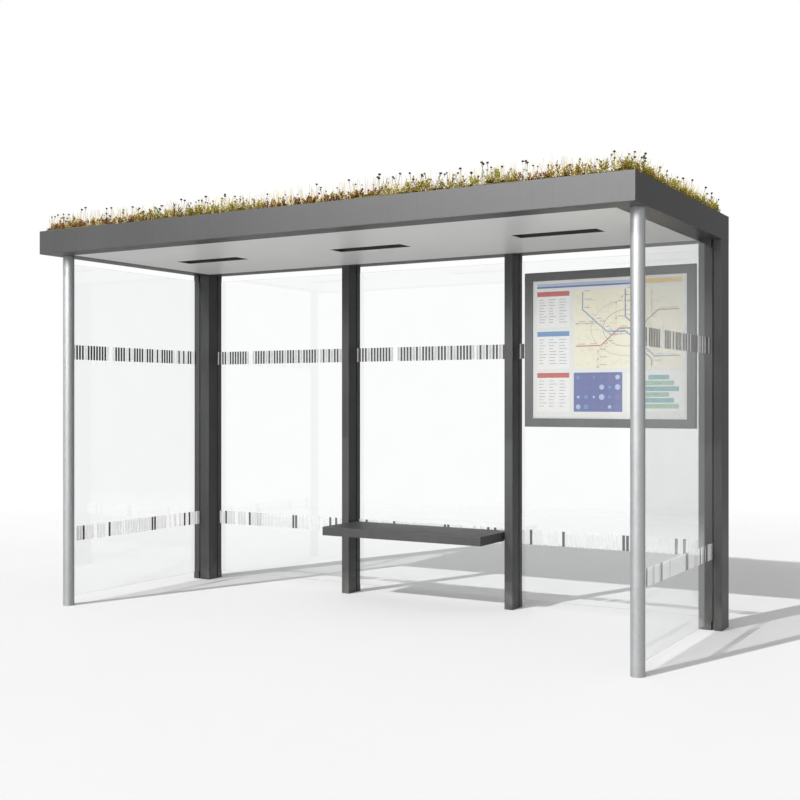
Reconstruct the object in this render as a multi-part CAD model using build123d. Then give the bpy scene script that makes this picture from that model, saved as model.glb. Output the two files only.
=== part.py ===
from build123d import *
from math import sqrt
import os

# Bus shelter with a planted roof: two round tube columns at the front, four slotted posts at the
# rear, frameless glass on three sides, a bench in the middle bay and a map case in the right bay.
# Millimetres. The origin is on the ground below the middle of the roof. +X runs along the shelter
# to the right as seen from its open front, +Y to the rear glass, +Z up.

# Layout
bay_count = 3
roof_length = 4186.0
roof_depth = 1740.0
clear_height = 2400.0

# Glazing
glass_thickness = 10.0
glass_bottom = 60.0
glass_top_gap = 50.0
glass_insert = 18.0
gasket_wall = 2.0
slot_slack = 2.0
side_glass_inset = 58.0
rear_glass_inset = 52.0

# Rear posts and their glazing clamps
post_width = 60.0
post_depth = 160.0
corner_width = 152.0
post_wall = 4.0
post_edge_radius = 2.0
rib_width = 14.0

# Front columns
column_diameter = 76.1
column_wall = 4.0
column_setback = 206.0
column_foot = 6.0

# Roof frame
fascia_height = 156.0
beam_width = 155.0
shelf_height = 80.0
upstand_width = 28.0
beam_wall = 4.0
beam_edge_radius = 2.5
ledge_reach = 30.0
ledge_thickness = 4.0

# Ceiling and lamps
soffit_thickness = 4.0
soffit_gap = 2.0
soffit_rise = 1.0
lamp_length = 540.0
lamp_width = 145.0
lamp_height = 50.0
lamp_sheet = 2.0
lamp_gap = 1.0
lamp_flange = 12.0
lens_thickness = 4.0
lens_rise = 26.0
lens_seat = 6.0
lens_play = 0.3

# Planted roof
deck_thickness = 4.0
deck_gap = 1.0
substrate_depth = 56.0
substrate_gap = 0.5
sedum_above_fascia = 40.0
sedum_batter = 12.0
tuft_height = 25.0
tuft_radius = 115.0
tuft_pitch = 245.0
tuft_sides = 7
tuft_crown_share = 0.45
tuft_size_shares = (1.0, 0.7, 0.85, 0.6, 0.95)

# Bench
seat_end_gap = 5.0
seat_depth = 441.0
seat_height = 522.0
seat_apron = 60.0
seat_sheet = 3.0
seat_edge_radius = 4.0
seat_rear_gap = 10.0
notch_gap = 4.0
bracket_thickness = 8.0
bracket_height = 45.0
bracket_reach = 24.0
bracket_setback = 60.0
bracket_rear_gap = 5.0
bracket_tip_share = 0.5
bracket_foot_setback = 10.0
bracket_foot_length = 70.0
bracket_foot_height = 35.0

# Map case
case_post_gap = 47.0
case_offset = 9.0
case_height = 1034.0
case_top_gap = 82.0
case_depth = 26.0
case_bar = 57.0
case_lip = 6.0
case_lip_overlap = 12.0
case_edge_radius = 1.5
window_thickness = 4.0
sheet_thickness = 1.0
back_thickness = 6.0
case_play = 0.5
tape_width = 40.0
tape_thickness = 2.0

# One overrun serves every cut.
overrun = 5.0

# Places worked out from the sizes above
bay_clear = (roof_length - 2 * corner_width - (bay_count - 1) * post_width) / bay_count
x_right = roof_length / 2
y_rear = roof_depth / 2
y_front = -y_rear
roof_top = clear_height + fascia_height
glass_top = clear_height - glass_top_gap
glass_height = glass_top - glass_bottom
slot_width = glass_thickness + 2 * gasket_wall
slot_depth = glass_insert + gasket_wall + slot_slack
clamp_depth = rear_glass_inset - slot_width / 2
post_front = y_rear - post_depth
side_glass_x = x_right - side_glass_inset
rear_glass_y = y_rear - rear_glass_inset
column_radius = column_diameter / 2
column_y = y_front + column_setback
bay_pitch = bay_clear + post_width
bay_centres = [(i - (bay_count - 1) / 2) * bay_pitch for i in range(bay_count)]
post_centres = [x + bay_pitch / 2 for x in bay_centres[:-1]]
post_names = ["left", "right"]
bay_names = ["left", "middle", "right"]

parts = {}


def block(x0, x1, y0, y1, z0, z1):
    """A box between two corners."""
    centre = Pos((x0 + x1) / 2, (y0 + y1) / 2, (z0 + z1) / 2)
    return centre * Box(x1 - x0, y1 - y0, z1 - z0)


def rectangle(x0, x1, y0, y1):
    """A flat rectangle between two corners."""
    return Pos((x0 + x1) / 2, (y0 + y1) / 2) * Rectangle(x1 - x0, y1 - y0)


def outline(*points):
    """A flat face inside a closed line through the points."""
    return make_face(Polyline(*points, close=True))


def eased(face, radius, inner_corner=None):
    """The face with its corners rounded, all but an inner corner that stays sharp."""
    corners = face.vertices()
    if inner_corner:
        x, y = inner_corner
        corners = [v for v in corners if abs(v.X - x) + abs(v.Y - y) > radius]
    return fillet(corners, radius)


def hollow(face, wall, radius, inner_corner=None):
    """A tube section: the face with its corners rounded, less its own inset."""
    return eased(face, radius, inner_corner) - offset(face, amount=-wall, kind=Kind.INTERSECTION)


def mitred(section, length):
    """A bar along X with its outer face at y = 0, facing -Y, and both ends cut at 45 degrees."""
    plane = Plane(origin=(-length / 2, 0, 0), x_dir=(0, 1, 0), z_dir=(1, 0, 0))
    bar = extrude(plane * section, amount=length)
    for end in (-1, 1):
        cut = Plane(origin=(end * length / 2, 0, 0), z_dir=(-end, -1, 0))
        bar = split(bar, bisect_by=cut, keep=Keep.TOP)
    return bar


def right_and_left(name, shape):
    """Stores a piece of the right end and its mirror image at the left end."""
    parts[name + "_right"] = shape
    parts[name + "_left"] = mirror(shape, about=Plane.YZ)


# Rear posts: a box section stands in front of the glass, and a clamp section behind it. A rib on
# the box bears on the clamp and leaves a slot for the glass on each open side.
def corner_post():
    """Box section of the right corner post, with one rib for the side glass and one for the rear."""
    inner = x_right - corner_width
    outer = side_glass_x - slot_width / 2
    back = rear_glass_y - slot_width / 2
    box = hollow(rectangle(inner, outer, post_front, back), post_wall, post_edge_radius)
    side_rib_y = post_front + slot_depth
    side_rib = rectangle(outer, outer + slot_width, side_rib_y, side_rib_y + rib_width)
    rear_rib_x = inner + slot_depth
    rear_rib = rectangle(rear_rib_x, rear_rib_x + rib_width, back, back + slot_width)
    return extrude(box + side_rib + rear_rib, amount=clear_height)


def corner_clamp():
    """Angle section that holds the side glass and the rear glass at the right corner."""
    inner = x_right - corner_width
    side = side_glass_x + slot_width / 2
    back = rear_glass_y + slot_width / 2
    angle = outline(
        (inner, y_rear), (x_right, y_rear), (x_right, post_front),
        (side, post_front), (side, back), (inner, back),
    )
    section = hollow(angle, post_wall, post_edge_radius, (side, back))
    return extrude(section, amount=clear_height)


def rear_post(x):
    """Box section of a post between two bays, with one rib between its two panes."""
    back = rear_glass_y - slot_width / 2
    half = post_width / 2
    box = hollow(rectangle(x - half, x + half, post_front, back), post_wall, post_edge_radius)
    rib_half = half - slot_depth
    rib = rectangle(x - rib_half, x + rib_half, back, back + slot_width)
    return extrude(box + rib, amount=clear_height)


def rear_clamp(x):
    """Clamp section behind the glass at a post between two bays."""
    half = post_width / 2
    face = rectangle(x - half, x + half, y_rear - clamp_depth, y_rear)
    return extrude(hollow(face, post_wall, post_edge_radius), amount=clear_height)


right_and_left("corner_post", corner_post())
right_and_left("corner_clamp", corner_clamp())
for post_name, post_x in zip(post_names, post_centres):
    parts[f"rear_post_{post_name}"] = rear_post(post_x)
    parts[f"rear_clamp_{post_name}"] = rear_clamp(post_x)


# Front columns: round tubes with a closed foot and a slot in the rear wall for the side glass.
def front_column():
    """The right front column."""
    tube = Cylinder(column_radius, clear_height, align=(Align.CENTER, Align.CENTER, Align.MIN))
    bore = Cylinder(
        column_radius - column_wall, clear_height, align=(Align.CENTER, Align.CENTER, Align.MIN)
    )
    tube -= Pos(0, 0, column_foot) * bore
    slot = block(
        -slot_width / 2, slot_width / 2, 0, column_radius + overrun, glass_bottom, glass_top
    )
    return Pos(side_glass_x, column_y) * (tube - slot)


right_and_left("front_column", front_column())

# Glass: each pane's two upright edges sit in slots, and its top and bottom edges are free.
pane_half = bay_clear / 2 + glass_insert
glass_half = glass_thickness / 2
for bay_name, bay_x in zip(bay_names, bay_centres):
    parts[f"rear_glass_{bay_name}"] = block(
        bay_x - pane_half, bay_x + pane_half,
        rear_glass_y - glass_half, rear_glass_y + glass_half, glass_bottom, glass_top,
    )
slot_mouth = sqrt(column_radius**2 - (slot_width / 2) ** 2)
side_pane_front = column_y + slot_mouth - glass_insert
side_pane_rear = post_front + glass_insert
right_and_left(
    "side_glass",
    block(
        side_glass_x - glass_half, side_glass_x + glass_half,
        side_pane_front, side_pane_rear, glass_bottom, glass_top,
    ),
)


# Gaskets: a rubber channel on each upright glass edge, squeezed between the slot's two walls.
def gasket(x, y, angle):
    """A channel on the pane edge at x, y. The pane lies in the direction of the angle."""
    outside = rectangle(-gasket_wall, glass_insert, -slot_width / 2, slot_width / 2)
    inside = rectangle(0, glass_insert, -glass_half, glass_half)
    return Pos(x, y, glass_bottom) * Rot(0, 0, angle) * extrude(outside - inside, amount=glass_height)


rear_gaskets = [
    gasket(bay_x + side * pane_half, rear_glass_y, 90 + side * 90)
    for bay_x in bay_centres
    for side in (-1, 1)
]
parts["rear_glass_gaskets"] = Compound(children=rear_gaskets)
side_gaskets = [
    gasket(side * side_glass_x, y, angle)
    for side in (-1, 1)
    for y, angle in ((side_pane_front, 90), (side_pane_rear, -90))
]
parts["side_glass_gaskets"] = Compound(children=side_gaskets)


# Roof frame: four mitred hollow beams. The outer upstand is the fascia and holds the planting in,
# the inner shelf carries the deck, and a thin ledge carries the ceiling.
def roof_beam(length):
    """One beam, with its outer face at y = 0 and its underside at z = 0."""
    angle = outline(
        (0, 0), (beam_width, 0), (beam_width, shelf_height),
        (upstand_width, shelf_height), (upstand_width, fascia_height), (0, fascia_height),
    )
    ledge_bottom = soffit_rise + soffit_thickness
    ledge = rectangle(
        beam_width, beam_width + ledge_reach, ledge_bottom, ledge_bottom + ledge_thickness
    )
    tube = hollow(angle, beam_wall, beam_edge_radius, (upstand_width, shelf_height))
    return mitred(tube + ledge, length)


parts["roof_beam_front"] = Pos(0, y_front, clear_height) * roof_beam(roof_length)
parts["roof_beam_rear"] = Pos(0, y_rear, clear_height) * Rot(0, 0, 180) * roof_beam(roof_length)
right_and_left("roof_beam", Pos(x_right, 0, clear_height) * Rot(0, 0, 90) * roof_beam(roof_depth))

# Ceiling: one sheet below the ledges, with a cut-out for the lamp of each bay.
soffit_bottom = clear_height + soffit_rise
soffit_top = soffit_bottom + soffit_thickness
soffit_x = x_right - beam_width - soffit_gap
soffit_y = y_rear - beam_width - soffit_gap
soffit = block(-soffit_x, soffit_x, -soffit_y, soffit_y, soffit_bottom, soffit_top)
for bay_x in bay_centres:
    soffit -= Pos(bay_x, 0, soffit_bottom) * Box(lamp_length, lamp_width, soffit_thickness + overrun * 2)
parts["soffit_panel"] = soffit


# Lamps: a pressed trough hangs through the ceiling by its flange, and a lens lies on a ledge in it.
def lamp_housing():
    """Trough at the middle of its bay, with its mouth level with the ceiling."""
    length = lamp_length - 2 * lamp_gap
    width = lamp_width - 2 * lamp_gap
    trough = Pos(0, 0, lamp_height / 2) * Box(length, width, lamp_height)
    mouth_length = length - 2 * lamp_sheet
    mouth_width = width - 2 * lamp_sheet
    cavity = block(
        -mouth_length / 2, mouth_length / 2, -mouth_width / 2, mouth_width / 2,
        -overrun, lamp_height - lamp_sheet,
    )
    flange = Pos(0, 0, soffit_thickness + lamp_sheet / 2) * (
        Box(length + 2 * lamp_flange, width + 2 * lamp_flange, lamp_sheet) - Box(length, width, lamp_sheet)
    )
    seat = Pos(0, 0, lens_rise - lamp_sheet / 2) * (
        Box(mouth_length, mouth_width, lamp_sheet)
        - Box(mouth_length - 2 * lens_seat, mouth_width - 2 * lens_seat, lamp_sheet)
    )
    return trough - cavity + flange + seat


def lamp_lens():
    """Diffuser sheet lying on the trough's ledge."""
    length = lamp_length - 2 * (lamp_gap + lamp_sheet + lens_play)
    width = lamp_width - 2 * (lamp_gap + lamp_sheet + lens_play)
    return Pos(0, 0, lens_rise + lens_thickness / 2) * Box(length, width, lens_thickness)


for bay_name, bay_x in zip(bay_names, bay_centres):
    place = Pos(bay_x, 0, soffit_bottom)
    parts[f"lamp_housing_{bay_name}"] = place * lamp_housing()
    parts[f"lamp_lens_{bay_name}"] = place * lamp_lens()

# Planted roof: a deck sheet on the shelves, a bed of growing medium, and a sedum mat with low
# tufts that stands above the fascia.
deck_bottom = clear_height + shelf_height
deck_top = deck_bottom + deck_thickness
deck_x = x_right - upstand_width - deck_gap
deck_y = y_rear - upstand_width - deck_gap
parts["roof_deck"] = block(-deck_x, deck_x, -deck_y, deck_y, deck_bottom, deck_top)

bed_x = x_right - upstand_width - substrate_gap
bed_y = y_rear - upstand_width - substrate_gap
bed_top = deck_top + substrate_depth
parts["roof_substrate"] = block(-bed_x, bed_x, -bed_y, bed_y, deck_top, bed_top)


def sedum_mat():
    """Mat with battered edges and a staggered field of low tufts, each a tapered mound."""
    mat_top = roof_top + sedum_above_fascia
    top_x = bed_x - sedum_batter
    top_y = bed_y - sedum_batter
    foot = Plane.XY.offset(bed_top) * Rectangle(2 * bed_x, 2 * bed_y)
    top = Plane.XY.offset(mat_top) * Rectangle(2 * top_x, 2 * top_y)
    tufts = []
    columns = int((2 * top_x - 2 * tuft_radius) // tuft_pitch) + 1
    rows = int((2 * top_y - 2 * tuft_radius) // tuft_pitch) + 1
    for i in range(columns):
        for j in range(rows):
            count = i * rows + j
            size = tuft_size_shares[count % len(tuft_size_shares)]
            turn = count * 360 / (tuft_sides * len(tuft_size_shares))
            base = RegularPolygon(tuft_radius * size, tuft_sides)
            crown = RegularPolygon(tuft_radius * size * tuft_crown_share, tuft_sides)
            mound = loft([base, Pos(0, 0, tuft_height * size) * crown])
            x = (i - (columns - 1) / 2) * tuft_pitch
            y = (j - (rows - 1) / 2) * tuft_pitch
            tufts.append(Pos(x, y, mat_top) * Rot(0, 0, turn) * mound)
    return loft([foot, top]) + tufts


parts["sedum_mat"] = sedum_mat()

# Bench: a folded steel seat, open below, on two plate brackets hidden inside it. Each bracket has a
# foot that reaches through a notch in the apron to the rear post.
seat_length = bay_clear - 2 * seat_end_gap
seat_rear = rear_glass_y - glass_half - seat_rear_gap
seat_front = seat_rear - seat_depth
seat_bottom = seat_height - seat_apron
bracket_top = seat_height - seat_sheet
bracket_bottom = bracket_top - bracket_height
foot_front = post_front + bracket_foot_setback
foot_rear = foot_front + bracket_foot_length
foot_top = bracket_bottom + bracket_foot_height


def bench_seat():
    """Seat sheet with rounded edges and an apron on all four sides, notched at both ends."""
    half = seat_length / 2
    body = block(-half, half, seat_front, seat_rear, seat_bottom, seat_height)
    lower_edges = body.faces().sort_by(Axis.Z)[0].edges()
    rounded = [edge for edge in body.edges() if edge not in lower_edges]
    body = fillet(rounded, seat_edge_radius)
    sheet = offset(body, amount=-seat_sheet, openings=body.faces().sort_by(Axis.Z)[0])
    notches = block(
        -half - overrun, half + overrun, foot_front - notch_gap, foot_rear + notch_gap,
        seat_bottom - overrun, foot_top + notch_gap,
    )
    return sheet - notches


def bench_bracket():
    """Right bracket: a tapered arm on edge below the seat sheet, and a foot on the post's inner face."""
    face = post_centres[-1] - post_width / 2
    arm_x = face - bracket_reach
    rear = seat_rear - bracket_rear_gap
    tip = seat_front + bracket_setback
    arm_side = outline(
        (tip, bracket_top), (rear, bracket_top), (rear, bracket_bottom), (foot_front, bracket_bottom),
        (tip, bracket_top - bracket_height * bracket_tip_share),
    )
    arm = Pos(arm_x, 0, 0) * extrude(Plane.YZ * arm_side, amount=bracket_thickness)
    foot = block(arm_x + bracket_thickness, face, foot_front, foot_rear, bracket_bottom, foot_top)
    return arm + foot


parts["bench_seat"] = bench_seat()
right_and_left("bench_bracket", bench_bracket())

# Map case: four mitred bars with a lip around a clear window, the printed sheet behind it, and a
# back panel. Strips of mounting tape hold the case to the inner face of the right rear pane.
case_x = bay_centres[-1] + case_offset
case_width = bay_clear - 2 * case_post_gap
case_rear = rear_glass_y - glass_half - tape_thickness
case_front = case_rear - case_depth
case_z = glass_top - case_top_gap - case_height / 2


def case_bar_section():
    """Section of a bar: its outer edge at x = 0, its front face at y = 0."""
    pocket = case_bar - case_lip_overlap
    face = outline(
        (0, 0), (case_bar, 0), (case_bar, case_lip), (pocket, case_lip),
        (pocket, case_depth), (0, case_depth),
    )
    return eased(face, case_edge_radius, (pocket, case_lip))


def case_bar_piece(length, angle, reach):
    """A bar turned by the angle about the case's middle, as far out as its edge reaches."""
    bar = Pos(0, -reach, 0) * mitred(case_bar_section(), length)
    return Pos(case_x, case_front, case_z) * Rot(-90, 0, 0) * Rot(0, 0, angle) * bar


for bar_name, bar_angle in (("top", 0), ("right", 90), ("bottom", 180), ("left", 270)):
    upright = bar_name in ("left", "right")
    bar_length = case_height if upright else case_width
    bar_reach = (case_width if upright else case_height) / 2
    parts[f"map_case_bar_{bar_name}"] = case_bar_piece(bar_length, bar_angle, bar_reach)


def case_sheet(front, thickness, play):
    """A flat sheet in the pocket of the case, its front face so far behind the case's front."""
    half_x = case_width / 2 - case_bar + case_lip_overlap - play
    half_z = case_height / 2 - case_bar + case_lip_overlap - play
    y = case_front + front
    return block(case_x - half_x, case_x + half_x, y, y + thickness, case_z - half_z, case_z + half_z)


sheet_front = case_lip + window_thickness
back_front = sheet_front + sheet_thickness
parts["map_case_window"] = case_sheet(case_lip, window_thickness, case_play)
parts["map_sheet"] = case_sheet(sheet_front, sheet_thickness, case_play)
parts["map_case_back"] = case_sheet(back_front, back_thickness, 0)

tape_x = (case_width - tape_width) / 2 - case_edge_radius
tape_half_height = case_height / 2 - case_edge_radius
tapes = [
    block(
        case_x + side * tape_x - tape_width / 2, case_x + side * tape_x + tape_width / 2,
        case_rear, case_rear + tape_thickness, case_z - tape_half_height, case_z + tape_half_height,
    )
    for side in (-1, 1)
]
parts["map_case_tapes"] = Compound(children=tapes)

os.makedirs("parts", exist_ok=True)
for name, shape in parts.items():
    export_step(shape, f"parts/{name}.step")
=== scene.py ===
# Bus shelter with a planted roof: finishes, print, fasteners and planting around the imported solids.
import math
import random

import bmesh
import bpy
import numpy as np
from mathutils import Matrix, Vector, noise


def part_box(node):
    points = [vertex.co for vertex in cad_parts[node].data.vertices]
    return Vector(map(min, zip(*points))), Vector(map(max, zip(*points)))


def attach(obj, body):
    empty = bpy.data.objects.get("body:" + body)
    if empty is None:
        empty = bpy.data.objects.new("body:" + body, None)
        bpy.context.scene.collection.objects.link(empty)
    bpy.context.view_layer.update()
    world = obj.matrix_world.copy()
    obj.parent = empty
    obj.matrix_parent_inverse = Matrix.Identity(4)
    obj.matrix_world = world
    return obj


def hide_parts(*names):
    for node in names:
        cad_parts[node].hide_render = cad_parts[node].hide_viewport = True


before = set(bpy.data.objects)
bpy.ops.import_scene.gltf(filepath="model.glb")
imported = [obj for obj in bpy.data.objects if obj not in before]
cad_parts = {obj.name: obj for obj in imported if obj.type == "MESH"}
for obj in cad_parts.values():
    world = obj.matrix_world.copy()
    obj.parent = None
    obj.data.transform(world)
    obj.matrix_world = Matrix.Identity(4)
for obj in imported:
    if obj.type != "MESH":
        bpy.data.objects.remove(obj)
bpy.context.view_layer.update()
MM = 0.001

# The viewpoint: a person's eye height off the right front corner, level and turned left, so that
# the long front runs away from the viewer.
eye_place = (4.019, -6.410, 1.414)
eye_turn = math.radians(30.6)
eye = bpy.data.cameras.new("viewpoint")
eye.lens = 52.35
eye.sensor_width = 36.0
viewpoint = bpy.data.objects.new("viewpoint", eye)
viewpoint.location = eye_place
viewpoint.rotation_euler = (math.radians(90), 0, eye_turn)
bpy.context.scene.collection.objects.link(viewpoint)
bpy.context.scene.camera = viewpoint
bpy.context.scene.view_settings.view_transform = "Standard"


# The studio: a wide pale floor that keeps the shadows and melts into a white surround, a low sun off
# the left front, a soft fill and an even sky. Cards that only shine shows model the faces of the steel.
class Wire:
    """A shader socket that can stand in sums: each operator adds its Math node to the tree."""

    def __init__(self, tree, socket):
        self.tree = tree
        self.socket = socket

    def node(self, kind, settings=None, sockets=None, output=0):
        """Adds any node: its settings are set first, then the values or links of its sockets."""
        made = self.tree.nodes.new(kind)
        for name, value in (settings or {}).items():
            if name == "stops":
                ramp = made.color_ramp.elements
                while len(ramp) < len(value):
                    ramp.new(1.0)
                for stop, (position, colour) in zip(ramp, value):
                    stop.position = position
                    stop.color = colour
            else:
                setattr(made, name, value)
        for name, value in (sockets or {}).items():
            if isinstance(value, Wire):
                self.tree.links.new(value.socket, made.inputs[name])
            else:
                made.inputs[name].default_value = value
        return Wire(self.tree, made.outputs[output])

    def sum(self, operation, first, second):
        return self.node("ShaderNodeMath", {"operation": operation}, {0: first, 1: second})

    def __add__(self, other):
        return self.sum("ADD", self, other)

    def __radd__(self, other):
        return self.sum("ADD", other, self)

    def __sub__(self, other):
        return self.sum("SUBTRACT", self, other)

    def __rsub__(self, other):
        return self.sum("SUBTRACT", other, self)

    def __mul__(self, other):
        return self.sum("MULTIPLY", self, other)

    def __rmul__(self, other):
        return self.sum("MULTIPLY", other, self)


def shade(red, green, blue):
    """A colour written as a screen shows it, 0 to 255, as the linear colour that shaders take."""
    linear = []
    for value in (red, green, blue):
        share = value / 255
        linear.append(share / 12.92 if share <= 0.04045 else ((share + 0.055) / 1.055) ** 2.4)
    return (*linear, 1.0)


def new_finish(name, **constants):
    """A new Principled material, with its shader node and the wire of its object coordinates."""
    material = bpy.data.materials.new(name)
    material.use_nodes = True
    tree = material.node_tree
    shader = tree.nodes["Principled BSDF"]
    for socket, value in constants.items():
        shader.inputs[socket.replace("_", " ")].default_value = value
    place = Wire(tree, tree.nodes.new("ShaderNodeTexCoord").outputs["Object"])
    return material, shader, place


def feed(shader, sockets):
    """Links wires to the shader's sockets by name."""
    for name, wire in sockets.items():
        wire.tree.links.new(wire.socket, shader.inputs[name])


def grain(place, scale, detail=3.0, stretch=None):
    """Noise of about 0 to 1 over the surface, with scale cells a metre, drawn out by stretch."""
    if stretch:
        place = place.node("ShaderNodeVectorMath", {"operation": "MULTIPLY"}, {0: place, 1: stretch})
    return place.node("ShaderNodeTexNoise", None, {"Vector": place, "Scale": scale, "Detail": detail})


def between(value, low, high):
    """0 below low, 1 above high and straight between them."""
    return value.node("ShaderNodeMapRange", None, {0: value, 1: low, 2: high})


def mixed(share, first, second):
    """The first colour where share is 0 and the second where it is 1."""
    return share.node("ShaderNodeMix", {"data_type": "RGBA"}, {0: share, 6: first, 7: second}, 2)


def rough_surface(height, depth, strength=1.0):
    """A bump as deep as depth, in metres, where height goes from 0 to 1."""
    return height.node("ShaderNodeBump", None, {"Height": height, "Distance": depth, "Strength": strength})


def axis(place, number):
    """One of the three coordinates of a place."""
    return place.node("ShaderNodeSeparateXYZ", None, {0: place}, number)


floor_reach = 40.0
floor_sink = 0.5 * MM
fade_from = 4.0
fade_to = 9.0
floor_finish, floor_shader, floor_place = new_finish("studio_floor", Roughness=0.8, Specular_IOR_Level=0.1)
from_middle = floor_place.node("ShaderNodeVectorMath", {"operation": "LENGTH"}, {0: floor_place}, 1)
feed(
    floor_shader,
    {
        "Base Color": mixed(grain(floor_place, 0.6), shade(246, 246, 246), shade(249, 249, 249)),
        "Alpha": 1 - between(from_middle, fade_from, fade_to),
    },
)
floor_mesh = bmesh.new()
bmesh.ops.create_circle(floor_mesh, cap_ends=True, segments=96, radius=floor_reach)
floor_data = bpy.data.meshes.new("studio_floor")
floor_mesh.to_mesh(floor_data)
floor_mesh.free()
floor_data.materials.append(floor_finish)
floor = bpy.data.objects.new("studio_floor", floor_data)
floor.location.z = -floor_sink
bpy.context.scene.collection.objects.link(floor)

sun_turn = math.radians(70.7)
sun_height = math.radians(37.0)
sun_strength = 2.6
sun_spread = math.radians(0.5)
fill_height = math.radians(9)
fill_strength = 1.35
fill_spread = math.radians(24)
to_sun = Vector((
    -math.cos(sun_turn) * math.cos(sun_height),
    -math.sin(sun_turn) * math.cos(sun_height),
    math.sin(sun_height),
))
to_fill = Vector((0, -math.cos(fill_height), math.sin(fill_height)))
for name, toward, strength, spread in (
    ("low_sun", to_sun, sun_strength, sun_spread),
    ("front_fill", to_fill, fill_strength, fill_spread),
):
    light = bpy.data.lights.new(name, "SUN")
    light.energy = strength
    light.angle = spread
    lamp = bpy.data.objects.new(name, light)
    lamp.rotation_euler = toward.to_track_quat("Z", "Y").to_euler()
    lamp.visible_transmission = False
    lamp.visible_glossy = name == "low_sun"
    bpy.context.scene.collection.objects.link(lamp)


# Share of the way from a flag's edge to its middle over which it fades
flag_edge = 0.35


def studio_card(name, middle, reach, level, adds_light):
    """An upright oval card that only shine shows, fading to its edge: a lamp panel that lights no matt
    surface, or a dark flag, which shine also shows behind glass."""
    card = bmesh.new()
    stand = Matrix.Translation(middle) @ Matrix.Rotation(math.radians(90), 4, "X")
    oval = Matrix.Diagonal((*reach, 1, 1))
    bmesh.ops.create_circle(card, cap_ends=True, segments=64, radius=1, matrix=stand @ oval)
    material = bpy.data.materials.new(name)
    material.use_nodes = True
    tree = material.node_tree
    place = Wire(tree, tree.nodes.new("ShaderNodeTexCoord").outputs["Object"])
    across = (axis(place, 0) - middle[0]) * (1 / reach[0])
    up = (axis(place, 2) - middle[2]) * (1 / reach[1])
    flat = place.node("ShaderNodeCombineXYZ", None, {0: across, 1: up})
    from_centre = place.node("ShaderNodeVectorMath", {"operation": "LENGTH"}, {0: flat}, 1)
    share = 1 - between(from_centre, 0, 1)
    clear = place.node("ShaderNodeBsdfTransparent")
    if adds_light:
        off_matt = 1 - between(place.node("ShaderNodeLightPath", None, None, "Diffuse Depth"), 0, 1)
        glow = place.node("ShaderNodeEmission", None, {"Strength": share * off_matt * level})
        result = place.node("ShaderNodeAddShader", None, {0: clear, 1: glow})
    else:
        glow = place.node("ShaderNodeEmission", None, {"Strength": level})
        in_shine = between(place.node("ShaderNodeLightPath", None, None, "Glossy Depth"), 0, 1)
        cover = between(share, 0, flag_edge) * in_shine
        result = place.node("ShaderNodeMixShader", None, {0: cover, 1: clear, 2: glow})
    tree.links.new(result.socket, tree.nodes["Material Output"].inputs["Surface"])
    data = bpy.data.meshes.new(name)
    card.to_mesh(data)
    card.free()
    data.materials.append(material)
    stood = bpy.data.objects.new(name, data)
    bpy.context.scene.collection.objects.link(stood)
    for kind in ("camera", "diffuse", "volume_scatter", "shadow"):
        setattr(stood, f"visible_{kind}", False)
    stood.visible_transmission = not adds_light


studio_card("wide_panel", middle=(0.2, -9.6, 5.1), reach=(10.5, 1.8), level=25.0, adds_light=True)
studio_card("tall_panel", middle=(-0.9, -9.8, 2.5), reach=(1.8, 5.0), level=5.0, adds_light=True)
studio_card("dark_flag", middle=(-4.0, 10.0, 3.0), reach=(28.0, 8.0), level=0.32, adds_light=False)

sky_level = 0.44
sky = bpy.data.worlds.new("even_sky")
sky.use_nodes = True
sky_shader = sky.node_tree.nodes["Background"]
sky_shader.inputs["Color"].default_value = (1, 1, 1, 1)
path = sky.node_tree.nodes.new("ShaderNodeLightPath")
seen = Wire(sky.node_tree, path.outputs["Is Camera Ray"])
seen = seen + Wire(sky.node_tree, path.outputs["Is Glossy Ray"])
seen = between(seen + Wire(sky.node_tree, path.outputs["Is Transmission Ray"]), 0, 1)
on_matt = between(Wire(sky.node_tree, path.outputs["Diffuse Depth"]), 0, 1)
feed(sky_shader, {"Strength": seen * (1 - on_matt) * (1 - sky_level) + sky_level})
bpy.context.scene.world = sky


# The steel frame: mitred roof beams, box posts and the glazing clamps behind the glass, welded and
# bolted. All of it is powder coated in a satin anthracite with a fine grain.
def coat(name, dark, light, roughness, dust_height):
    """Powder coat: faint clouds in the colour, a pebbled grain with painted glints on its peaks, and a
    little dust near the ground.
    """
    material, shader, place = new_finish(name, Metallic=0.1, Specular_IOR_Level=0.4)
    peak_glint = shade(150, 152, 155)
    dusty = shade(150, 146, 138)
    clouds = grain(place, 1.8, 4)
    runs = grain(place, 1.0, 4, (38, 38, 1.2))
    pebbles = grain(place, 520, 2)
    dust = (1 - between(axis(place, 2), 0, dust_height)) * between(grain(place, 9, 6), 0.42, 0.75)
    colour = mixed(between(clouds + runs * 0.6, 0.55, 1.05), shade(*dark), shade(*light))
    # Painted glints: the peaks of the pebbled grain are lightened a quarter of the way to pale grey.
    colour = mixed(between(pebbles, 0.66, 0.8) * 0.25, colour, peak_glint)
    colour = mixed(dust * 0.3, colour, dusty)
    feed(
        shader,
        {
            "Base Color": colour,
            "Roughness": runs * 0.06 + clouds * 0.06 + dust * 0.2 + (roughness - 0.06),
            "Normal": rough_surface(pebbles, 0.06 * MM, 0.5),
        },
    )
    return material


def dress(material, *nodes):
    """Gives the solids of these names the finish."""
    for node in nodes:
        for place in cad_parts[node].material_slots:
            place.material = material


anthracite = coat("anthracite_coat", (55, 55, 56), (62, 62, 63), roughness=0.40, dust_height=250 * MM)
sides = ("left", "right")
dress(anthracite, *(f"roof_beam_{side}" for side in ("front", "rear", *sides)))
for member in ("corner_post", "corner_clamp", "rear_post", "rear_clamp", "bench_bracket"):
    dress(anthracite, *(f"{member}_{side}" for side in sides))


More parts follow.
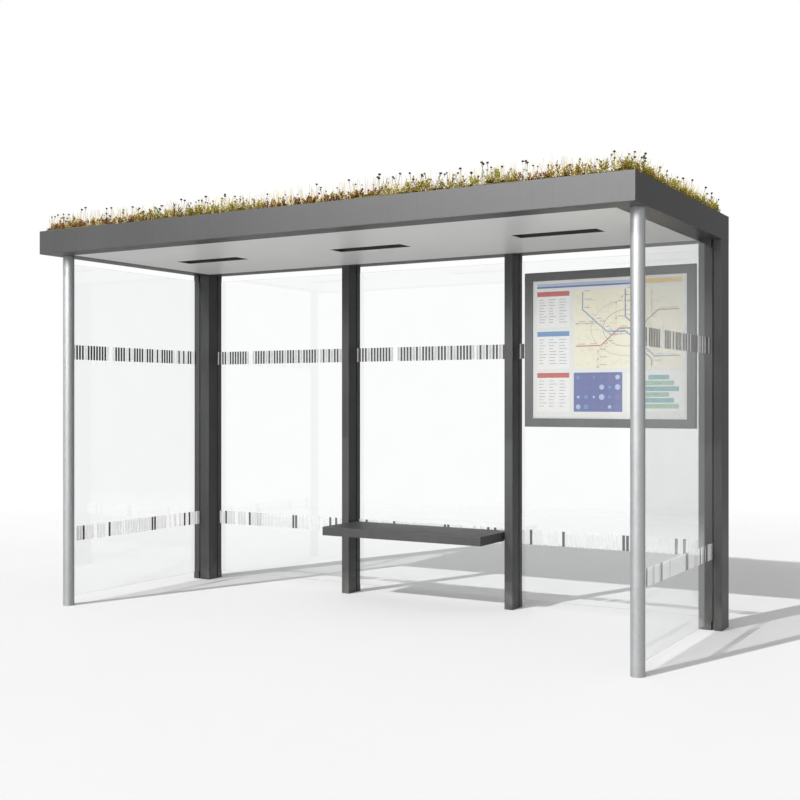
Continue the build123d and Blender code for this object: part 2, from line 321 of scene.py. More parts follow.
# The clamp screws: stainless button heads with a socket, in a row up the back of every clamp. They
# press the clamp and the gasket on the glass.
def new_piece(name, shape, material, smooth=False):
    """Makes the finished shape an object of the shelter with this finish."""
    data = bpy.data.meshes.new(name)
    shape.to_mesh(data)
    shape.free()
    data.materials.append(material)
    data.shade_smooth() if smooth else data.shade_flat()
    piece = bpy.data.objects.new(name, data)
    bpy.context.scene.collection.objects.link(piece)
    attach(piece, "root")
    return piece


screw_radius = 6.5 * MM
screw_dome = 3.6 * MM
socket_radius = 2.6 * MM
socket_depth = 1.6 * MM
screw_sides = 10
screw_rows = 8
lowest_screw = 150 * MM
highest_screw = 2250 * MM


def button_head(shape, place, turn):
    """A domed head on the face at place, with turn taking its +Z to the way the face looks."""
    half = [
        (screw_radius, 0),
        (screw_radius * 0.92, screw_dome * 0.45),
        (screw_radius * 0.66, screw_dome * 0.86),
        (socket_radius, screw_dome),
        (socket_radius, screw_dome - socket_depth),
        (0, screw_dome - socket_depth),
    ]
    corners = [shape.verts.new((out, 0, up)) for out, up in half]
    edges = [shape.edges.new(pair) for pair in zip(corners, corners[1:])]
    bmesh.ops.spin(
        shape,
        geom=corners + edges,
        cent=(0, 0, 0),
        axis=(0, 0, 1),
        angle=math.tau,
        steps=screw_sides,
        use_merge=True,
    )
    found = {vert for face in shape.faces for vert in face.verts if not face.tag}
    for face in shape.faces:
        face.tag = True
    bmesh.ops.transform(shape, matrix=Matrix.Translation(place) @ turn, verts=list(found))


stainless, stainless_shader, stainless_place = new_finish("stainless_screws", Metallic=1.0)
feed(
    stainless_shader,
    {
        "Base Color": mixed(grain(stainless_place, 300), shade(150, 150, 152), shade(182, 182, 184)),
        "Roughness": grain(stainless_place, 700) * 0.2 + 0.25,
    },
)
screws = bmesh.new()
to_rear = Matrix.Rotation(math.radians(-90), 4, "X")
for member in ("corner_clamp", "rear_clamp"):
    for side in sides:
        low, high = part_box(f"{member}_{side}")
        for row in range(screw_rows):
            up = lowest_screw + (highest_screw - lowest_screw) * row / (screw_rows - 1)
            button_head(screws, ((low[0] + high[0]) / 2, high[1], up), to_rear)
bmesh.ops.remove_doubles(screws, verts=screws.verts, dist=0.01 * MM)
bmesh.ops.recalc_face_normals(screws, faces=screws.faces)
new_piece("clamp_screws", screws, stainless, smooth=True)


# The front columns: two round steel tubes set in the ground, hot-dip galvanised and left bare, so
# they are a dull light grey with a fine crystal fleck.
zinc, zinc_shader, zinc_place = new_finish("galvanised_steel", Metallic=0.5)
crystals = zinc_place.node("ShaderNodeTexVoronoi", None, {"Vector": zinc_place, "Scale": 170.0}, 1)
crystal_tone = axis(crystals, 0)
weather = grain(zinc_place, 6, 5)
zinc_colour = mixed(crystal_tone * 0.5 + weather * 0.5, shade(141, 142, 143), shade(157, 158, 159))
feed(
    zinc_shader,
    {
        "Base Color": zinc_colour,
        "Roughness": crystal_tone * 0.12 + weather * 0.1 + 0.33,
        "Normal": rough_surface(grain(zinc_place, 260, 3), 0.08 * MM, 0.5),
    },
)
dress(zinc, *(f"front_column_{side}" for side in sides))


# The glazing: five sheets of clear toughened glass, 10 mm thick and all but colourless, standing in
# slots in the posts, each edge in a black rubber channel.
# Share of the light that a sheet holds back when met squarely
square_loss = 0.04


def see_through(name, body, lamp_share, roughness, bend):
    """Clear sheet. Lamp light loses more of itself at a slant, light from matt surfaces an even share."""
    material, shader, place = new_finish(name, Transmission_Weight=1.0, IOR=bend)
    tree = material.node_tree
    smears = grain(place, 3.5, 5)
    greyer = tuple(part - 1 for part in body)
    feed(
        shader,
        {
            "Base Color": mixed(between(smears, 0.4, 0.7), shade(*body), shade(*greyer)),
            "Roughness": between(smears, 0.55, 0.8) * 0.006 + roughness,
        },
    )
    # What a lamp sends through: least at a slant, where a face mirrors most
    let_through = place.node("ShaderNodeBsdfTransparent", None, {0: (*(lamp_share,) * 3, 1)})
    held_back = place.node("ShaderNodeBsdfTransparent", None, {0: (0, 0, 0, 1)})
    slant = place.node("ShaderNodeLayerWeight", None, {"Blend": 0.5}, "Facing")
    loss = slant * slant * slant * slant * slant * (1 - square_loss) + square_loss
    for_lamps = place.node("ShaderNodeMixShader", None, {0: loss, 1: let_through, 2: held_back})
    # What matt surfaces send through, and the sheet that the eye and shine see
    even_share = (1 - square_loss) * lamp_share
    for_matt = place.node("ShaderNodeBsdfTransparent", None, {0: (*(even_share,) * 3, 1)})
    sheet = Wire(tree, shader.outputs[0])
    from_matt = between(place.node("ShaderNodeLightPath", None, None, "Diffuse Depth"), 0, 1)
    sheet = place.node("ShaderNodeMixShader", None, {0: from_matt, 1: sheet, 2: for_matt})
    lamp_ray = place.node("ShaderNodeLightPath", None, None, "Is Shadow Ray")
    result = place.node("ShaderNodeMixShader", None, {0: lamp_ray, 1: sheet, 2: for_lamps})
    tree.links.new(result.socket, tree.nodes["Material Output"].inputs["Surface"])
    return material


bays = ("left", "middle", "right")
clear_glass = see_through("clear_glass", (252, 253, 253), lamp_share=0.98, roughness=0.0, bend=1.5)
dress(clear_glass, *(f"rear_glass_{bay}" for bay in bays), *(f"side_glass_{side}" for side in sides))

rubber, rubber_shader, rubber_place = new_finish("gasket_rubber")
feed(
    rubber_shader,
    {
        "Base Color": mixed(grain(rubber_place, 40, 4), shade(24, 24, 25), shade(34, 34, 34)),
        "Roughness": grain(rubber_place, 90) * 0.2 + 0.55,
        "Normal": rough_surface(grain(rubber_place, 900, 2), 0.05 * MM),
    },
)
dress(rubber, "rear_glass_gaskets", "side_glass_gaskets")


# The warning bands: rows of upright bars cut from dark film and from white film that scatters light,
# stuck on the inner face of every pane at knee and head height, so that nobody walks into the glass.
def slab(shape, low, high):
    """A block between two corners."""
    low, high = Vector(low), Vector(high)
    place = Matrix.LocRotScale((low + high) / 2, None, high - low)
    bmesh.ops.create_cube(shape, size=1, matrix=place)


film_thickness = 0.25 * MM
film_gap = 0.02 * MM
bar_width = 16.5 * MM
bar_step = 25.2 * MM
band_tail = 46 * MM
upper_band = (1695 * MM, 1795 * MM)
lower_band = (437 * MM, 537 * MM)
# A white bar keeps its inset off the dark ones. In a wide gap a second one starts its reach before the end
white_inset = 7 * MM
white_reach = 24 * MM
# Each group of dark bars: the clear way before it in millimetres, and its number of bars
bar_groups = (
    (24, 3), (35, 7), (85, 4), (36, 1), (35, 4), (34, 3),
    (35, 1), (33, 5), (61, 1), (34, 1), (34, 2), (35, 1),
)
# The lower band is white bars with a dark one here and there: d dark, w white, n narrow white, - clear
lower_rhythm = "-wwdwww-www-dwwwwnwwwwwwwwwwddwwww-n-w-wndndwwwn"
# Where each of its bars starts and ends, as shares of a step
lower_marks = {"d": (0.1, 0.8), "w": (0.05, 0.88), "n": (0.3, 0.6)}


def upper_bars(length):
    """Starts and ends of dark and of white bars along a pane, spread over its whole length."""
    dark, white = [], []
    way = 0.0
    for clear, count in bar_groups:
        start = way + clear * MM
        spare = start - way - 2 * white_inset
        if spare > bar_step:
            white.append((way + white_inset, way + white_inset + bar_width))
            white.append((start - white_reach, start - white_inset))
        elif spare > 0:
            white.append((way + white_inset, start - white_inset))
        for number in range(count):
            dark.append((start + number * bar_step, start + number * bar_step + bar_width))
        way = dark[-1][1]
    stretch = length / (way + band_tail)
    return [[(a * stretch, b * stretch) for a, b in bars] for bars in (dark, white)]


def lower_bars(length):
    """The same for the lower band, where every mark takes an equal step of the pane."""
    step = length / len(lower_rhythm)
    dark, white = [], []
    for number, mark in enumerate(lower_rhythm):
        if mark in lower_marks:
            start, end = lower_marks[mark]
            bars = dark if mark == "d" else white
            bars.append((number * step + start * step, number * step + end * step))
    return dark, white


def on_rear_pane(bay):
    """Lays a bar on the room side of a rear pane: from and to are ways from its left post."""
    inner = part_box(f"rear_glass_{bay}")[0][1] - film_gap
    return lambda bar, band: (
        (rear_start[bay] + bar[0], inner - film_thickness, band[0]),
        (rear_start[bay] + bar[1], inner, band[1]),
    )


def on_side_pane(side, hand):
    """Lays a bar on the room side of a side pane: from and to are ways from its column."""
    low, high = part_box(f"side_glass_{side}")
    inner = (low[0] if hand > 0 else high[0]) - hand * film_gap
    near, far = sorted((inner, inner - hand * film_thickness))
    return lambda bar, band: ((near, side_start + bar[0], band[0]), (far, side_start + bar[1], band[1]))


rear_post_faces = [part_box("corner_post_left")[1][0]]
for side in sides:
    low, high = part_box(f"rear_post_{side}")
    rear_post_faces += [low[0], high[0]]
rear_post_faces.append(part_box("corner_post_right")[0][0])
rear_start = dict(zip(bays, rear_post_faces[0::2]))
bay_length = rear_post_faces[1] - rear_post_faces[0]
side_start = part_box("front_column_left")[1][1]
side_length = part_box("corner_post_left")[0][1] - side_start


def film(name, dull, bright, through):
    """Self-adhesive film with a slightly uneven surface. A share of the light goes through, scattered."""
    material, shader, place = new_finish(name)
    tree = material.node_tree
    feed(
        shader,
        {
            "Base Color": mixed(grain(place, 25, 4), shade(*dull), shade(*bright)),
            "Roughness": grain(place, 60) * 0.2 + 0.4,
            "Normal": rough_surface(grain(place, 500, 2), 0.03 * MM, 0.5),
        },
    )
    scattered = place.node("ShaderNodeBsdfTranslucent", None, {"Color": shade(*bright)})
    surface = Wire(tree, shader.outputs[0])
    result = place.node("ShaderNodeMixShader", None, {0: through, 1: surface, 2: scattered})
    tree.links.new(result.socket, tree.nodes["Material Output"].inputs["Surface"])
    return material


dark_bars, white_bars = bmesh.new(), bmesh.new()
for lay, length in (
    *((on_rear_pane(bay), bay_length) for bay in bays),
    *((on_side_pane(side, hand), side_length) for side, hand in zip(sides, (-1, 1))),
):
    for band, (dark, white) in ((upper_band, upper_bars(length)), (lower_band, lower_bars(length))):
        for shape, bars in ((dark_bars, dark), (white_bars, white)):
            for bar in bars:
                slab(shape, *lay(bar, band))
dark_film = film("dark_film", (60, 61, 63), (70, 71, 73), through=0.0)
white_film = film("white_film", (246, 246, 246), (251, 251, 251), through=0.8)
new_piece("dark_band_bars", dark_bars, dark_film)
new_piece("white_band_bars", white_bars, white_film)


# The ceiling: one pale grey coated sheet flush inside the beams. Three narrow lamps are let into
# it, each a dark folded trough with a smoked diffuser set back inside.
ceiling, ceiling_shader, ceiling_place = new_finish("ceiling_sheet")
ceiling_clouds = grain(ceiling_place, 1.3, 3)
feed(
    ceiling_shader,
    {
        "Base Color": mixed(ceiling_clouds, shade(214, 214, 212), shade(222, 222, 220)),
        "Roughness": grain(ceiling_place, 3.0, 4) * 0.1 + 0.28,
        "Normal": rough_surface(grain(ceiling_place, 2.4, 2), 0.8 * MM, 0.6),
    },
)
dress(ceiling, "soffit_panel")

trough, trough_shader, trough_place = new_finish("lamp_housing")
feed(
    trough_shader,
    {
        "Base Color": mixed(grain(trough_place, 12, 4), shade(46, 47, 48), shade(58, 59, 60)),
        "Roughness": grain(trough_place, 40) * 0.15 + 0.4,
        "Normal": rough_surface(grain(trough_place, 500, 2), 0.05 * MM),
    },
)
dress(trough, *(f"lamp_housing_{bay}" for bay in bays))

diffuser, diffuser_shader, diffuser_place = new_finish("lamp_lens")
prisms = diffuser_place.node(
    "ShaderNodeTexWave",
    {"bands_direction": "X"},
    {"Vector": diffuser_place, "Scale": 60.0, "Distortion": 0.0},
)
# Painted highlight and shade: the lens is lighter and darker in stripes that follow its prism ridges.
feed(
    diffuser_shader,
    {
        "Base Color": mixed(prisms, shade(84, 85, 86), shade(104, 105, 106)),
        "Roughness": grain(diffuser_place, 30) * 0.1 + 0.25,
        "Normal": rough_surface(prisms, 0.4 * MM, 0.6),
    },
)
dress(diffuser, *(f"lamp_lens_{bay}" for bay in bays))


# The roof tray: a galvanised deck sheet on the beams carries a bed of crushed brick and compost
# for the planting.
dress(zinc, "roof_deck")
bed, bed_shader, bed_place = new_finish("growing_medium", Roughness=0.95)
crumbs = bed_place.node("ShaderNodeTexVoronoi", None, {"Vector": bed_place, "Scale": 160.0}, 0)
feed(
    bed_shader,
    {
        "Base Color": mixed(grain(bed_place, 60, 5), shade(72, 52, 40), shade(134, 96, 72)),
        "Normal": rough_surface(crumbs, 3 * MM),
    },
)
dress(bed, "roof_substrate")


# The planting: a pre-grown carpet of stonecrop and moss laid on the bed. Low rosettes cover it,
# with upright shoots, dry flower stems and fine bents standing over them.
mat_low, mat_high = (Vector(corner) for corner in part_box("sedum_mat"))
mat_size = mat_high - mat_low
moss_step = 24 * MM
carpet_depth = 32 * MM
carpet_least = 2 * MM
cushion_rise = 11 * MM
cushions_a_metre = 4.5
lump_rise = 8 * MM
lumps_a_metre = 17
rim_drop = 12 * MM
rim_width = 40 * MM


def from_rim(x, y):
    """How far a place lies inside the nearest edge of the carpet."""
    return min(mat_high.x - abs(x), mat_high.y - abs(y))


def carpet_height(x, y):
    """Height of the moss over the bed: soft cushions with finer lumps, sloping down at the rim."""
    cushions = noise.noise(Vector((x * cushions_a_metre, y * cushions_a_metre, 0.3)))
    lumps = noise.noise(Vector((x * lumps_a_metre, y * lumps_a_metre, 2.1)))
    slope = max(0, 1 - from_rim(x, y) / rim_width)
    return carpet_depth + cushion_rise * cushions + lump_rise * lumps - rim_drop * slope


moss = bmesh.new()
bmesh.ops.create_grid(
    moss,
    x_segments=round(mat_size.x / moss_step),
    y_segments=round(mat_size.y / moss_step),
    size=0.5,
    matrix=Matrix.LocRotScale((0, 0, mat_low.z), None, (mat_size.x, mat_size.y, 1)),
)
raised = bmesh.ops.extrude_face_region(moss, geom=moss.faces[:])
for vert in (part for part in raised["geom"] if isinstance(part, bmesh.types.BMVert)):
    vert.co.z += max(carpet_height(vert.co.x, vert.co.y), carpet_least)
bmesh.ops.recalc_face_normals(moss, faces=moss.faces)
moss_finish, moss_shader, moss_place = new_finish("moss_carpet", Roughness=0.9)
patches = grain(moss_place, 3.2, 4)
tufts = grain(moss_place, 120, 4)
moss_and_shade_colour = patches.node(
    "ShaderNodeValToRGB",
    {
        "stops": [
            (0.3, shade(84, 54, 30)),
            (0.45, shade(108, 92, 38)),
            (0.56, shade(128, 120, 48)),
            (0.7, shade(134, 102, 54)),
        ]
    },
    {0: patches * 0.7 + tufts * 0.3},
)
# Painted shade: the hollows between the tufts go to near black, and the moss browns are kept dark to stand
# for the shade under the shoots.
feed(
    moss_shader,
    {
        "Base Color": mixed(between(tufts, 0.35, 0.6), shade(34, 28, 18), moss_and_shade_colour),
        "Normal": rough_surface(tufts, 6 * MM),
    },
)
moss_piece = new_piece("moss_carpet", moss, moss_finish, smooth=True)
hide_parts("sedum_mat")


def leaf(sprig, length, width, lie):
    """A fleshy leaf from the origin of lie along its Z."""
    swell = Matrix.LocRotScale((0, 0, length / 2), None, (width, width * 0.6, length))
    bmesh.ops.create_uvsphere(sprig, u_segments=4, v_segments=2, radius=0.5, matrix=lie @ swell)


def stalk(sprig, height, foot, tip, lie=Matrix()):
    """A thin three-sided stem up the Z of lie."""
    stand = lie @ Matrix.Translation((0, 0, height / 2))
    bmesh.ops.create_cone(
        sprig, cap_ends=True, segments=3, radius1=foot, radius2=tip, depth=height, matrix=stand
    )


golden_turn = math.radians(137.5)
# Radius of each kind of stem at its foot and at its tip
shoot_stem = (1.3 * MM, 0.8 * MM)
dry_stem = (1.1 * MM, 0.8 * MM)
fork_stem = (0.6 * MM, 0.5 * MM)
bent_stem = (1.0 * MM, 0.5 * MM)
seed_head = (12 * MM, 12 * MM, 14 * MM)


def rosette(leaves, length, outer_lean, inner_lean):
    """A low rosette: leaves round a centre, the outer ones lying flatter."""
    sprig = bmesh.new()
    for number in range(leaves):
        share = number / (leaves - 1)
        lean = math.radians(outer_lean + (inner_lean - outer_lean) * share)
        lie = Matrix.Rotation(golden_turn * number, 4, "Z") @ Matrix.Rotation(lean, 4, "X")
        leaf(sprig, length * (1 - 0.35 * share), length * 0.42, lie)
    return sprig


def shoot(height, leaves, length):
    """An upright shoot: a stem with leaves standing off it up to a small crown."""
    sprig = bmesh.new()
    stalk(sprig, height, *shoot_stem)
    for number in range(leaves):
        share = number / (leaves - 1)
        lean = math.radians(70 - 45 * share)
        up = Matrix.Translation((0, 0, height * (0.25 + 0.75 * share)))
        lie = up @ Matrix.Rotation(golden_turn * number, 4, "Z") @ Matrix.Rotation(lean, 4, "X")
        leaf(sprig, length * (1 - 0.3 * share), length * 0.4, lie)
    return sprig


def flower_stem(height, heads, spread):
    """A dry stem that forks near its top into a flat cluster of seed heads."""
    sprig = bmesh.new()
    fork = height * 0.8
    stalk(sprig, fork, *dry_stem)
    for number in range(heads):
        lean = math.atan2(spread * math.sqrt(number / heads), height - fork)
        lie = (
            Matrix.Translation((0, 0, fork))
            @ Matrix.Rotation(golden_turn * number, 4, "Z")
            @ Matrix.Rotation(lean, 4, "X")
        )
        reach = (height - fork) / math.cos(lean)
        stalk(sprig, reach, *fork_stem, lie)
        head = Matrix.LocRotScale((0, 0, reach), None, seed_head)
        bmesh.ops.create_uvsphere(sprig, u_segments=4, v_segments=2, radius=0.5, matrix=lie @ head)
    return sprig


def planted(name, sprig, chosen, material):
    """Sets the sprig at every chosen spot in one joined mesh, and keeps each copy's tone with it."""
    bmesh.ops.triangulate(sprig, faces=sprig.faces)
    sprig.verts.index_update()
    corners = np.array([vert.co for vert in sprig.verts])
    faces = np.array([[vert.index for vert in face.verts] for face in sprig.faces])
    sprig.free()
    places = [corners @ np.array(spot.to_3x3()).T + np.array(spot.translation) for spot, tone in chosen]
    joined = np.concatenate([faces + number * len(corners) for number in range(len(chosen))])
    data = bpy.data.meshes.new(name)
    data.from_pydata(np.concatenate(places).tolist(), [], joined.tolist())
    tones = np.repeat(np.array([tone for spot, tone in chosen], dtype=np.float32), len(corners))
    data.attributes.new("tone", "FLOAT", "POINT").data.foreach_set("value", tones)
    data.materials.append(material)
    piece = bpy.data.objects.new(name, data)
    bpy.context.scene.collection.objects.link(piece)
    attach(piece, "root")


bare_edge = 10 * MM
root_depth = 3 * MM
tone_patches_a_metre = 2.6


def spots(seed, count, tilt, smallest, largest, wanted=lambda x, y, draw: True):
    """Places for a kind of plant on the carpet, each with its turn, tilt in degrees, size and tone.
    Plants that stand together are much alike in tone."""
    draw = random.Random(seed)
    found = []
    while len(found) < count:
        x = draw.uniform(mat_low.x + bare_edge, mat_high.x - bare_edge)
        y = draw.uniform(mat_low.y + bare_edge, mat_high.y - bare_edge)
        if not wanted(x, y, draw):
            continue
        foot = (x, y, mat_low.z + carpet_height(x, y) - root_depth)
        turn = Matrix.Rotation(draw.uniform(0, math.tau), 4, "Z")
        lean = Matrix.Rotation(math.radians(draw.gauss(0, tilt)), 4, "X")
        size = Matrix.Scale(draw.uniform(smallest, largest), 4)
        patch = 0.5 + 0.5 * noise.noise(Vector((x * tone_patches_a_metre, y * tone_patches_a_metre, seed)))
        tone = min(1.0, max(0.0, patch * 0.75 + draw.uniform(-0.1, 0.35)))
        found.append((Matrix.Translation(foot) @ turn @ lean @ size, tone))
    return found


def foliage(name, stops):
    """Leaf or stem colour by each plant's own tone, a little mottled."""
    material, shader, place = new_finish(name, Roughness=0.55, Specular_IOR_Level=0.2)
    tone = place.node("ShaderNodeAttribute", {"attribute_name": "tone"}, None, 2)
    colour = tone.node("ShaderNodeValToRGB", {"stops": stops}, {0: tone})
    mottle = grain(place, 220, 3)
    feed(shader, {"Base Color": mixed(between(mottle, 0.3, 0.75) * 0.35, colour, shade(84, 62, 24))})
    return material


carpet_leaves = foliage(
    "rosette_leaves",
    [
        (0.0, shade(72, 40, 20)),
        (0.3, shade(104, 72, 28)),
        (0.6, shade(128, 120, 34)),
        (1.0, shade(206, 190, 72)),
    ],
)
shoot_leaves = foliage(
    "shoot_leaves",
    [
        (0.0, shade(84, 44, 20)),
        (0.3, shade(206, 178, 62)),
        (0.6, shade(140, 136, 30)),
        (1.0, shade(250, 236, 140)),
    ],
)
fresh_leaves = foliage("fresh_leaves", [(0.0, shade(96, 150, 30)), (1.0, shade(140, 190, 50))])
red_leaves = foliage("red_leaves", [(0.0, shade(100, 58, 28)), (1.0, shade(172, 110, 58))])
dry_stems = foliage(
    "dry_stems",
    [
        (0.0, shade(44, 40, 38)),
        (0.7, shade(66, 54, 46)),
        (1.0, shade(112, 88, 62)),
    ],
)
straw = foliage("straw_bents", [(0.0, shade(204, 178, 84)), (1.0, shade(238, 218, 132))])


rim_strip = 50 * MM
patches_a_metre = 3.1


def by_the_rim(x, y, draw):
    """Keeps the outer strip of the carpet, where the plants stand thickest."""
    return from_rim(x, y) < abs(draw.gauss(0, rim_strip))


def in_patches(number, share):
    """Keeps only some areas of the carpet, about the share given, for plants that grow together."""

    def kept(x, y, draw):
        return 0.5 + noise.noise(Vector((x * patches_a_metre, y * patches_a_metre, number))) > 1 - share

    return kept


green_patches = in_patches(7, 0.36)
red_patches = in_patches(11, 0.42)


def red_rim(x, y, draw):
    """Keeps the stretches of the rim where the low red stonecrop grows."""
    return by_the_rim(x, y, draw) and red_patches(x, y, draw)


def yellow_rim(x, y, draw):
    """Keeps the stretches of the rim between them."""
    return by_the_rim(x, y, draw) and not red_patches(x, y, draw)


def straw_bent(height):
    """A single bare stem of dry grass."""
    sprig = bmesh.new()
    stalk(sprig, height, *bent_stem)
    return sprig


# Each kind of plant: its sprig, then the seed, number, tilt, sizes and growing area of its spots
planted("stonecrop_rosettes", rosette(7, 26 * MM, 84, 25), spots(1, 2600, 14, 0.7, 1.5), carpet_leaves)
planted("stonecrop_shoots", shoot(32 * MM, 8, 19 * MM), spots(2, 1500, 20, 0.45, 1.3), shoot_leaves)
planted("rim_shoots", shoot(42 * MM, 9, 22 * MM), spots(12, 760, 24, 0.4, 1.35, yellow_rim), shoot_leaves)
planted("rim_sprigs", shoot(70 * MM, 9, 15 * MM), spots(9, 340, 18, 0.5, 1.25, yellow_rim), carpet_leaves)
fresh_spots = spots(3, 200, 12, 0.7, 1.4, green_patches)
planted("fresh_tufts", shoot(52 * MM, 14, 26 * MM), fresh_spots, fresh_leaves)
planted("red_tufts", shoot(40 * MM, 9, 19 * MM), spots(4, 360, 16, 0.7, 1.4, red_patches), red_leaves)
planted("rim_red_tufts", shoot(32 * MM, 9, 20 * MM), spots(15, 420, 22, 0.5, 1.3, red_rim), red_leaves)
tall_stem = 120 * MM
planted("tall_flower_stems", flower_stem(tall_stem, 5, 6 * MM), spots(5, 200, 10, 0.6, 1.0), dry_stems)
rim_spots = spots(14, 260, 14, 0.45, 1.0, by_the_rim)
planted("rim_flower_stems", flower_stem(tall_stem, 4, 6 * MM), rim_spots, dry_stems)
planted("short_flower_stems", flower_stem(74 * MM, 4, 5 * MM), spots(6, 440, 16, 0.7, 1.1), dry_stems)
planted("fine_bents", straw_bent(84 * MM), spots(8, 2800, 20, 0.6, 1.35, by_the_rim), straw)


# The bench: a folded steel seat on two plate brackets between the bay posts, powder coated in the
# colour of the frame with a slightly duller surface.
bench_coat = coat("bench_coat", (53, 53, 54), (62, 62, 63), roughness=0.46, dust_height=50 * MM)
dress(bench_coat, "bench_seat")


# The map case: four mitred aluminium bars in a mid grey coat hold a clear window, the printed
# sheet and a back panel, stuck to the right rear pane with foam tape.
case_coat = coat("case_coat", (89, 90, 91), (97, 98, 99), roughness=0.38, dust_height=50 * MM)
dress(case_coat, *(f"map_case_bar_{side}" for side in ("top", "bottom", *sides)), "map_case_back")
clear_plastic = see_through("clear_plastic", (252, 253, 253), lamp_share=0.97, roughness=0.01, bend=1.49)
dress(clear_plastic, "map_case_window")
foam, foam_shader, foam_place = new_finish("mounting_tape", Roughness=0.85)
feed(
    foam_shader,
    {
        "Base Color": mixed(grain(foam_place, 200), shade(28, 28, 28), shade(40, 40, 40)),
        "Normal": rough_surface(grain(foam_place, 800, 2), 0.2 * MM),
    },
)
dress(foam, "map_case_tapes")


# The printed sheet: paper with a plain route diagram, timetable columns and two colour panels, a
# print of no particular town. Every ink is a thin layer on the face of the paper.
sheet_low, sheet_high = (Vector(corner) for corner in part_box("map_sheet"))
ink_room = 0.4 * MM
ink_layer = 0.06 * MM
view_low = Vector((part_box("map_case_bar_left")[1][0], 0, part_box("map_case_bar_bottom")[1][2]))
view_high = Vector((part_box("map_case_bar_right")[0][0], 0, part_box("map_case_bar_top")[0][2]))
view_size = view_high - view_low
paper_face = sheet_low.y + ink_room


def ink(name, colour):
    """Printed paper: the colour with a faint uneven density and a soft paper gloss."""
    material, shader, place = new_finish(f"{name}_ink")
    lighter = tuple(min(255, part + 7) for part in colour)
    feed(
        shader,
        {
            "Base Color": mixed(grain(place, 45, 5), shade(*colour), shade(*lighter)),
            "Roughness": grain(place, 160) * 0.15 + 0.45,
        },
    )
    return material


paper = bmesh.new()
slab(paper, (sheet_low.x, paper_face, sheet_low.z), sheet_high)
paper_piece = new_piece("poster_paper", paper, ink("paper", (236, 236, 232)))
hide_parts("map_sheet")

inks = {}


def layer(name, level):
    """The shape that collects one ink, and the place of its face, so many layers off the paper."""
    if name not in inks:
        inks[name] = bmesh.new()
    return inks[name], paper_face - level * ink_layer


def on_sheet(across, up):
    """Where a place lies that is given as shares of the visible sheet's width and height."""
    return view_low.x + across * view_size.x, view_low.z + up * view_size.z


def printed_block(name, level, left, bottom, right, top):
    """A block of ink between two corners of the sheet."""
    shape, face = layer(name, level)
    (low_x, low_z), (high_x, high_z) = on_sheet(left, bottom), on_sheet(right, top)
    slab(shape, (low_x, face, low_z), (high_x, paper_face, high_z))


def printed_dot(name, level, across, up, radius, sides_round=14):
    """A dot of ink round a place on the sheet."""
    shape, face = layer(name, level)
    x, z = on_sheet(across, up)
    place = Matrix.Translation((x, (face + paper_face) / 2, z))
    upright = Matrix.Rotation(math.radians(90), 4, "X")
    bmesh.ops.create_cone(
        shape,
        cap_ends=True,
        segments=sides_round,
        radius1=radius,
        radius2=radius,
        depth=paper_face - face,
        matrix=place @ upright,
    )


def printed_line(name, level, points, width):
    """A line of ink through places on the sheet, mitred at its turns."""
    shape, face = layer(name, level)
    way = [Vector(on_sheet(*point)) for point in points]
    runs = [(b - a).normalized() for a, b in zip(way, way[1:])]
    rails = []
    for number, point in enumerate(way):
        before = runs[max(number - 1, 0)]
        across = (before + runs[min(number, len(runs) - 1)]).normalized().orthogonal()
        across *= width / 2 / abs(across.dot(before.orthogonal()))
        rails.append([shape.verts.new((end.x, face, end.y)) for end in (point + across, point - across)])
    ribbon = [shape.faces.new((a[0], a[1], b[1], b[0])) for a, b in zip(rails, rails[1:])]
    back = bmesh.ops.extrude_face_region(shape, geom=ribbon)["geom"]
    lifted = [part for part in back if isinstance(part, bmesh.types.BMVert)]
    bmesh.ops.translate(shape, verts=lifted, vec=(0, paper_face - face, 0))


# Heading: two thin stripes and a block at the right
print_left, print_right = 0.03, 0.97
heading_foot, heading_rule, heading_top = 0.945, 0.957, 0.978
heading_split = 0.74
printed_block("navy", 1, print_left, heading_foot, heading_split, heading_rule)
printed_block("pale_blue", 1, print_left, heading_rule, heading_split, heading_top)
printed_block("yellow", 1, heading_split, heading_foot, print_right, heading_top)

# Timetables at the left: a coloured head and rows of fine grey strokes in three columns
panel_foot, panel_top = 0.05, 0.33
table_right = 0.25
table_head = 0.035
table_rows = 9
first_row = 0.06
row_waste = 0.075
first_column = 0.042
column_step = 0.07
stroke_height = 0.0035
draw = random.Random(21)
for head, bottom, top in (("red", 0.66, 0.92), ("sky", 0.36, 0.63), ("red", panel_foot, panel_top)):
    printed_block("white", 1, print_left, bottom, table_right, top)
    printed_block(head, 2, print_left, top - table_head, table_right, top)
    for row in range(table_rows):
        up = top - first_row - row * (top - bottom - row_waste) / table_rows
        for column in range(3):
            start = first_column + column * column_step
            printed_block("grey", 2, start, up, start + draw.uniform(0.025, 0.055), up + stroke_height)

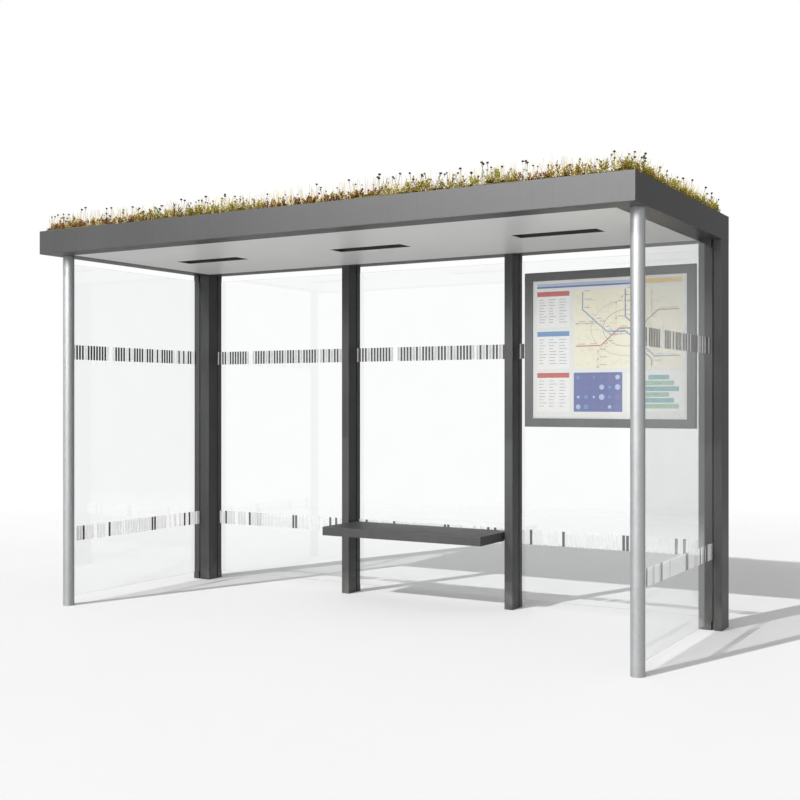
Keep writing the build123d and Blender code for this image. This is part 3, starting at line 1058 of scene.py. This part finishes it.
# Route diagram on a cream field: two oval rings, lines with 45 degree turns, their stops with plain
# strokes for labels, and fine streets between them
thick_line = 7 * MM
thin_line = 3 * MM
hair_line = 1.0 * MM
stop_radius = 6 * MM
stop_hole = 0.6 * stop_radius
label_gap = 0.012
label_height = 0.004
ring_sides = 32
ring_squash = 0.85
route_layer = 3
route_rise = 0.3
street_count = 260
field_left, field_foot, field_top = 0.28, 0.36, 0.92
printed_block("cream", 1, field_left, field_foot, print_right, field_top)
middle = ((field_left + print_right) / 2, (field_foot + field_top) / 2)
for size, name in ((0.15, "grey"), (0.23, "pale_grey")):
    ring = []
    for number in range(ring_sides + 1):
        turn = math.tau * number / ring_sides
        ring.append((middle[0] + size * math.cos(turn), middle[1] + size * ring_squash * math.sin(turn)))
    printed_line(name, 2, ring, thin_line)
routes = (
    ("red", thick_line, ((0.3, 0.52), (0.46, 0.52), (0.58, 0.64), (0.7, 0.64), (0.82, 0.76), (0.95, 0.76))),
    ("sky", thick_line, ((0.34, 0.9), (0.34, 0.78), (0.5, 0.62), (0.62, 0.62), (0.8, 0.44), (0.95, 0.44))),
    ("navy", thick_line, ((0.62, 0.91), (0.62, 0.72), (0.7, 0.64), (0.7, 0.5), (0.78, 0.42), (0.78, 0.37))),
    ("grey", thin_line, ((0.3, 0.68), (0.44, 0.68), (0.52, 0.6), (0.66, 0.6), (0.78, 0.72), (0.78, 0.9))),
    ("yellow", thin_line, ((0.44, 0.37), (0.44, 0.48), (0.56, 0.6), (0.56, 0.82), (0.64, 0.9))),
)
for number, (name, width, points) in enumerate(routes):
    printed_line(name, route_layer + number * route_rise, points, width)
    for start, end in zip(points, points[1:]):
        for share in (0.0, 0.5):
            across = start[0] + (end[0] - start[0]) * share
            up = start[1] + (end[1] - start[1]) * share
            printed_dot("navy", 5, across, up, stop_radius)
            printed_dot("white", 5.5, across, up, stop_hole)
            left, foot = across + label_gap, up + label_gap
            printed_block("grey", 2, left, foot, left + draw.uniform(0.02, 0.05), foot + label_height)
for number in range(street_count):
    across = draw.uniform(field_left, print_right - 0.06)
    up = draw.uniform(field_foot, field_top - 0.05)
    turn = math.radians(draw.choice((0, 45, 90, 135)))
    reach = draw.uniform(0.02, 0.06)
    end = (across + reach * math.cos(turn), up + reach * abs(math.sin(turn)))
    printed_line(draw.choice(("pale_grey", "pale_grey", "grey")), 1.5, ((across, up), end), hair_line)

# Two panels below: six-sided tiles in blues at the left, bands in greens with a dot at the right
printed_block("navy", 1, field_left, panel_foot, 0.60, panel_top)
for row in range(4):
    for column in range(6):
        colour = draw.choice(("sky", "pale_blue", "sky", "violet"))
        radius = draw.uniform(9, 21) * MM
        printed_dot(colour, 2, 0.31 + column * 0.052, 0.085 + row * 0.07, radius, 6)
band_step = 0.04
band_shift = 0.022
band_height = 0.033
dot_rise = 0.017
dot_radius = 6 * MM
printed_block("white", 1, 0.63, panel_foot, print_right, panel_top)
for number in range(6):
    start = 0.65 + number * band_shift
    foot = 0.075 + number * band_step
    colour = "teal" if number % 2 else "sage"
    printed_block(colour, 2, start, foot, 0.95 - 0.03 * (number % 3), foot + band_height)
    printed_dot("sky", 3, start + 0.07 + 0.02 * (number % 3), foot + dot_rise, dot_radius, 8)

ink_colours = {
    "navy": (92, 102, 162),
    "pale_blue": (176, 196, 226),
    "yellow": (236, 196, 70),
    "white": (243, 243, 240),
    "red": (196, 84, 82),
    "sky": (98, 146, 196),
    "grey": (150, 150, 152),
    "pale_grey": (196, 194, 186),
    "cream": (244, 239, 214),
    "violet": (110, 112, 168),
    "teal": (110, 172, 176),
    "sage": (150, 190, 160),
}
for name, shape in inks.items():
    bmesh.ops.recalc_face_normals(shape, faces=shape.faces)
    new_piece(f"{name}_print", shape, ink(name, ink_colours[name]))
